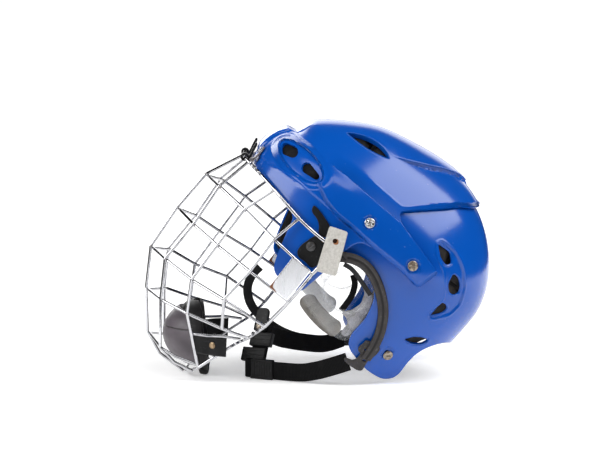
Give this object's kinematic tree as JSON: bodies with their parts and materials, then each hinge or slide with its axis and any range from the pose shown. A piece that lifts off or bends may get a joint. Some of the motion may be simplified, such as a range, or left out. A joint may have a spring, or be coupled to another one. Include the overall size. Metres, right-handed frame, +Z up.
{
  "type": "hockey helmet with wire face cage",
  "caption": "Hockey player's helmet with a hard blue shell in two halves, foam liner, clear ear guards, hinged chrome wire cage, chin cup and chin strap, resting tilted back.",
  "frame": {"origin": "centre of the helmet's footprint, on the ground it rests on", "axes": "+Z up, -X the way the face looks, -Y the wearer's left"},
  "size_m": [0.3446, 0.2148, 0.2538],
  "materials": {
    "shell": "glossy",
    "foam": "matte",
    "black_plastic": "satin",
    "loop_plastic": "satin",
    "clear_plastic": "clear, scuffed",
    "pad": "matte",
    "chrome": "polished, rust at the welds",
    "screw": "worn",
    "tab": "satin",
    "webbing": "woven",
    "cup_pad": "satin",
    "rivet": "dull"
  },
  "bodies": {
    "shell": {"front_shell": "shell", "front_liner": "foam", "crown_liner": "foam", "ear_guards": "clear_plastic", "guard_pads": "pad", "forehead_clips": "black_plastic", "clip_screws": "screw", "temple_brackets": "black_plastic", "temple_screws": "screw", "temple_hooks": "black_plastic", "shell_screws": "screw", "t_nuts": "screw", "loop_hooks": "loop_plastic", "chin_strap_near": "webbing", "chin_strap_far": "webbing", "strap_adjuster": "black_plastic", "strap_clip": "black_plastic", "strap_stud": "screw"},
    "rear": {"rear_shell": "shell", "rear_liner": "foam", "lobe_screws": "screw"},
    "cage": {"cage_frame": "chrome", "cage_verticals": "chrome", "cage_cross_wires": "chrome", "cage_chin_wire": "chrome", "side_plates": "chrome", "cage_tabs": "tab", "cup_straps": "webbing", "cup_rods": "chrome", "cup_rivets": "rivet"},
    "cup": {"chin_cup": "black_plastic", "chin_cup_pad": "cup_pad"},
    "near_loop": {"near_ear_loop": "loop_plastic"},
    "far_loop": {"far_ear_loop": "black_plastic"},
    "slider": {"strap_slider": "black_plastic"}
  },
  "joints": [
    {"name": "cage_flip", "type": "hinge", "parent": "shell", "child": "cage", "pos_m": [-0.07131, 0, 0.21972], "axis": [0, 1, 0], "range_deg": [0, 100]},
    {"name": "rear_slide", "type": "slide", "parent": "shell", "child": "rear", "axis": [-0.6676, 0, 0.7446], "range_m": [0, 0.007]},
    {"name": "cup_tilt", "type": "hinge", "parent": "cage", "child": "cup", "pos_m": [-0.1215, 0, 0.037], "axis": [0, 1, 0], "range_deg": [-5, 5]},
    {"name": "near_loop_swing", "type": "hinge", "parent": "shell", "child": "near_loop", "pos_m": [0.0222, -0.103, 0.12911], "axis": [0, 1, 0], "range_deg": [0, 35]},
    {"name": "far_loop_swing", "type": "hinge", "parent": "shell", "child": "far_loop", "pos_m": [0.03579, 0.092, 0.01679], "axis": [0, 1, 0], "range_deg": [-3, 8]},
    {"name": "slider_travel", "type": "slide", "parent": "shell", "child": "slider", "axis": [0.872, -0.4895, 0], "range_m": [0, 0.014]}
  ]
}
